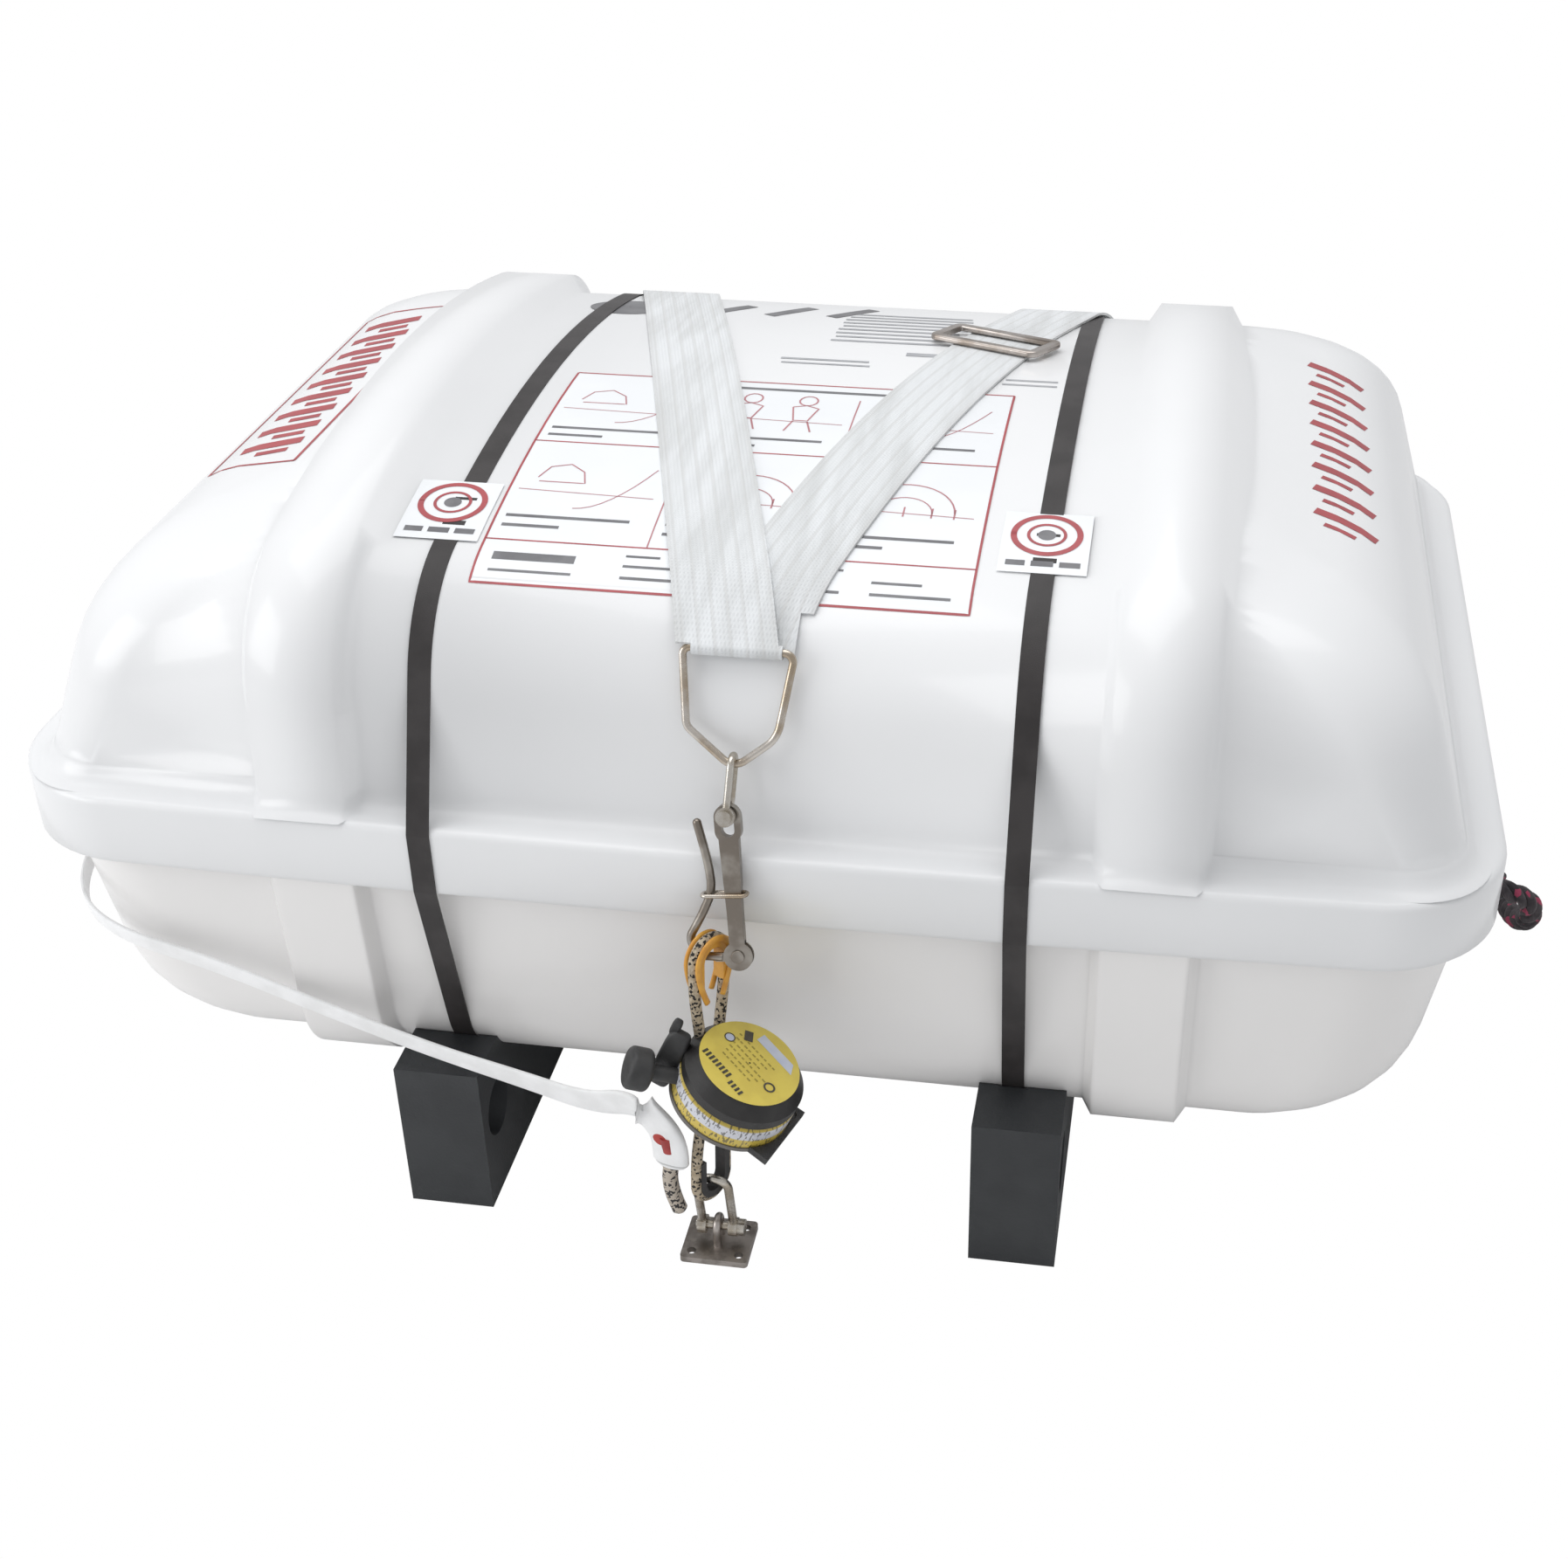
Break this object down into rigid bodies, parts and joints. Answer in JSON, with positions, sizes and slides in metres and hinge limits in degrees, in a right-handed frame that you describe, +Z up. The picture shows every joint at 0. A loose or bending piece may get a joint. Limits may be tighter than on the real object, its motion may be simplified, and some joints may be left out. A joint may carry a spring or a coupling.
{
  "type": "liferaft canister",
  "caption": "Ribbed two-part liferaft canister on cradle beams, banded shut and lashed by webbing, slip hook and hydrostatic release to a deck pad eye.",
  "frame": {"origin": "on the deck plane, under the canister's centre", "axes": "X along the canister, Y across it with the release gear at -Y, Z up"},
  "size_m": [1.0958, 0.9201, 0.5309],
  "materials": {
    "gelcoat_upper": "gloss gelcoat over GRP",
    "gelcoat_lower": "gloss gelcoat over GRP",
    "gasket": "soft matt",
    "band": "matt",
    "seal": "brushed",
    "cradle": "moulded black",
    "webbing": "woven polyester",
    "slider_steel": "satin",
    "anchor_steel": "satin",
    "ring_steel": "polished",
    "shackle_steel": "satin",
    "hook_steel": "satin",
    "thimble_yellow": "moulded",
    "thimble_black": "moulded",
    "rope_white": "braided, dark flecks",
    "housing": "moulded with label band",
    "cap": "label face",
    "ear": "moulded",
    "weak_red": "moulded",
    "painter": "woven tape",
    "port_rubber": "matt",
    "deck_steel": "satin",
    "handle": "braided, red flecks",
    "raft": "packed coated fabric",
    "bottle": "painted",
    "valve": "machined",
    "pack": "coated fabric"
  },
  "bodies": {
    "canister": {"upper_shell": "gelcoat_upper", "upper_rim": "gelcoat_upper", "lower_shell": "gelcoat_lower", "rim_gasket": "gasket", "painter_port": "port_rubber", "handle_rope_left": "handle", "handle_rope_right": "handle", "band_left": "band", "band_right": "band", "band_seal_left": "seal", "band_seal_right": "seal", "cradle_beam_left": "cradle", "cradle_beam_right": "cradle", "lashing_strap": "webbing", "strap_slider": "slider_steel", "strap_anchor_left": "anchor_steel", "strap_anchor_right": "anchor_steel", "pad_eye": "deck_steel", "painter_tape": "painter", "weak_link": "weak_red", "packed_raft": "raft", "gas_cylinder": "bottle", "cylinder_valve": "valve", "emergency_pack": "pack"},
    "ring": {"triangle_ring": "ring_steel"},
    "shackle": {"ring_shackle": "shackle_steel", "ring_shackle_pin": "shackle_steel"},
    "hook": {"slip_hook_body": "hook_steel", "slip_hook_pin": "hook_steel"},
    "tongue": {"slip_hook_tongue": "hook_steel"},
    "keeper": {"slip_hook_ring": "hook_steel"},
    "tether": {"deck_shackle": "deck_steel", "deck_shackle_pin": "deck_steel", "release_rope": "rope_white", "upper_thimble": "thimble_yellow", "lower_thimble": "thimble_black", "release_housing": "housing", "release_cap": "cap", "release_ear": "ear", "release_knob": "ear"}
  },
  "joints": [
    {"name": "ring_swing", "type": "hinge", "parent": "canister", "child": "ring", "pos_m": [0, -0.322, 0.459], "axis": [-1, 0, 0], "range_deg": [0, 1.5]},
    {"name": "shackle_swing", "type": "hinge", "parent": "ring", "child": "shackle", "pos_m": [0.0131, -0.35267, 0.38805], "axis": [-0.9986, 0, 0.0523], "range_deg": [-0.7, 0.7]},
    {"name": "hook_swing", "type": "hinge", "parent": "shackle", "child": "hook", "pos_m": [0.01156, -0.36512, 0.3586], "axis": [-0.0204, 0.9212, -0.3886], "range_deg": [-0.7, 0.7]},
    {"name": "tongue_hinge", "type": "hinge", "parent": "hook", "child": "tongue", "pos_m": [0.0215, -0.393, 0.2656], "axis": [0.0304, 0.9583, -0.2841], "range_deg": [-0.5, 2]},
    {"name": "keeper_slide", "type": "slide", "parent": "hook", "child": "keeper", "axis": [-0.1018, 0.2857, 0.9529], "range_m": [0, 0.016]},
    {"name": "tether_swing", "type": "hinge", "parent": "canister", "child": "tether", "pos_m": [-0.003, -0.393, 0.019], "axis": [1, 0, 0], "range_deg": [0, 1.2]}
  ],
  "couplings": [
    {"joint": "tether_swing", "follows": "ring_swing", "ratio": 0.783}
  ]
}
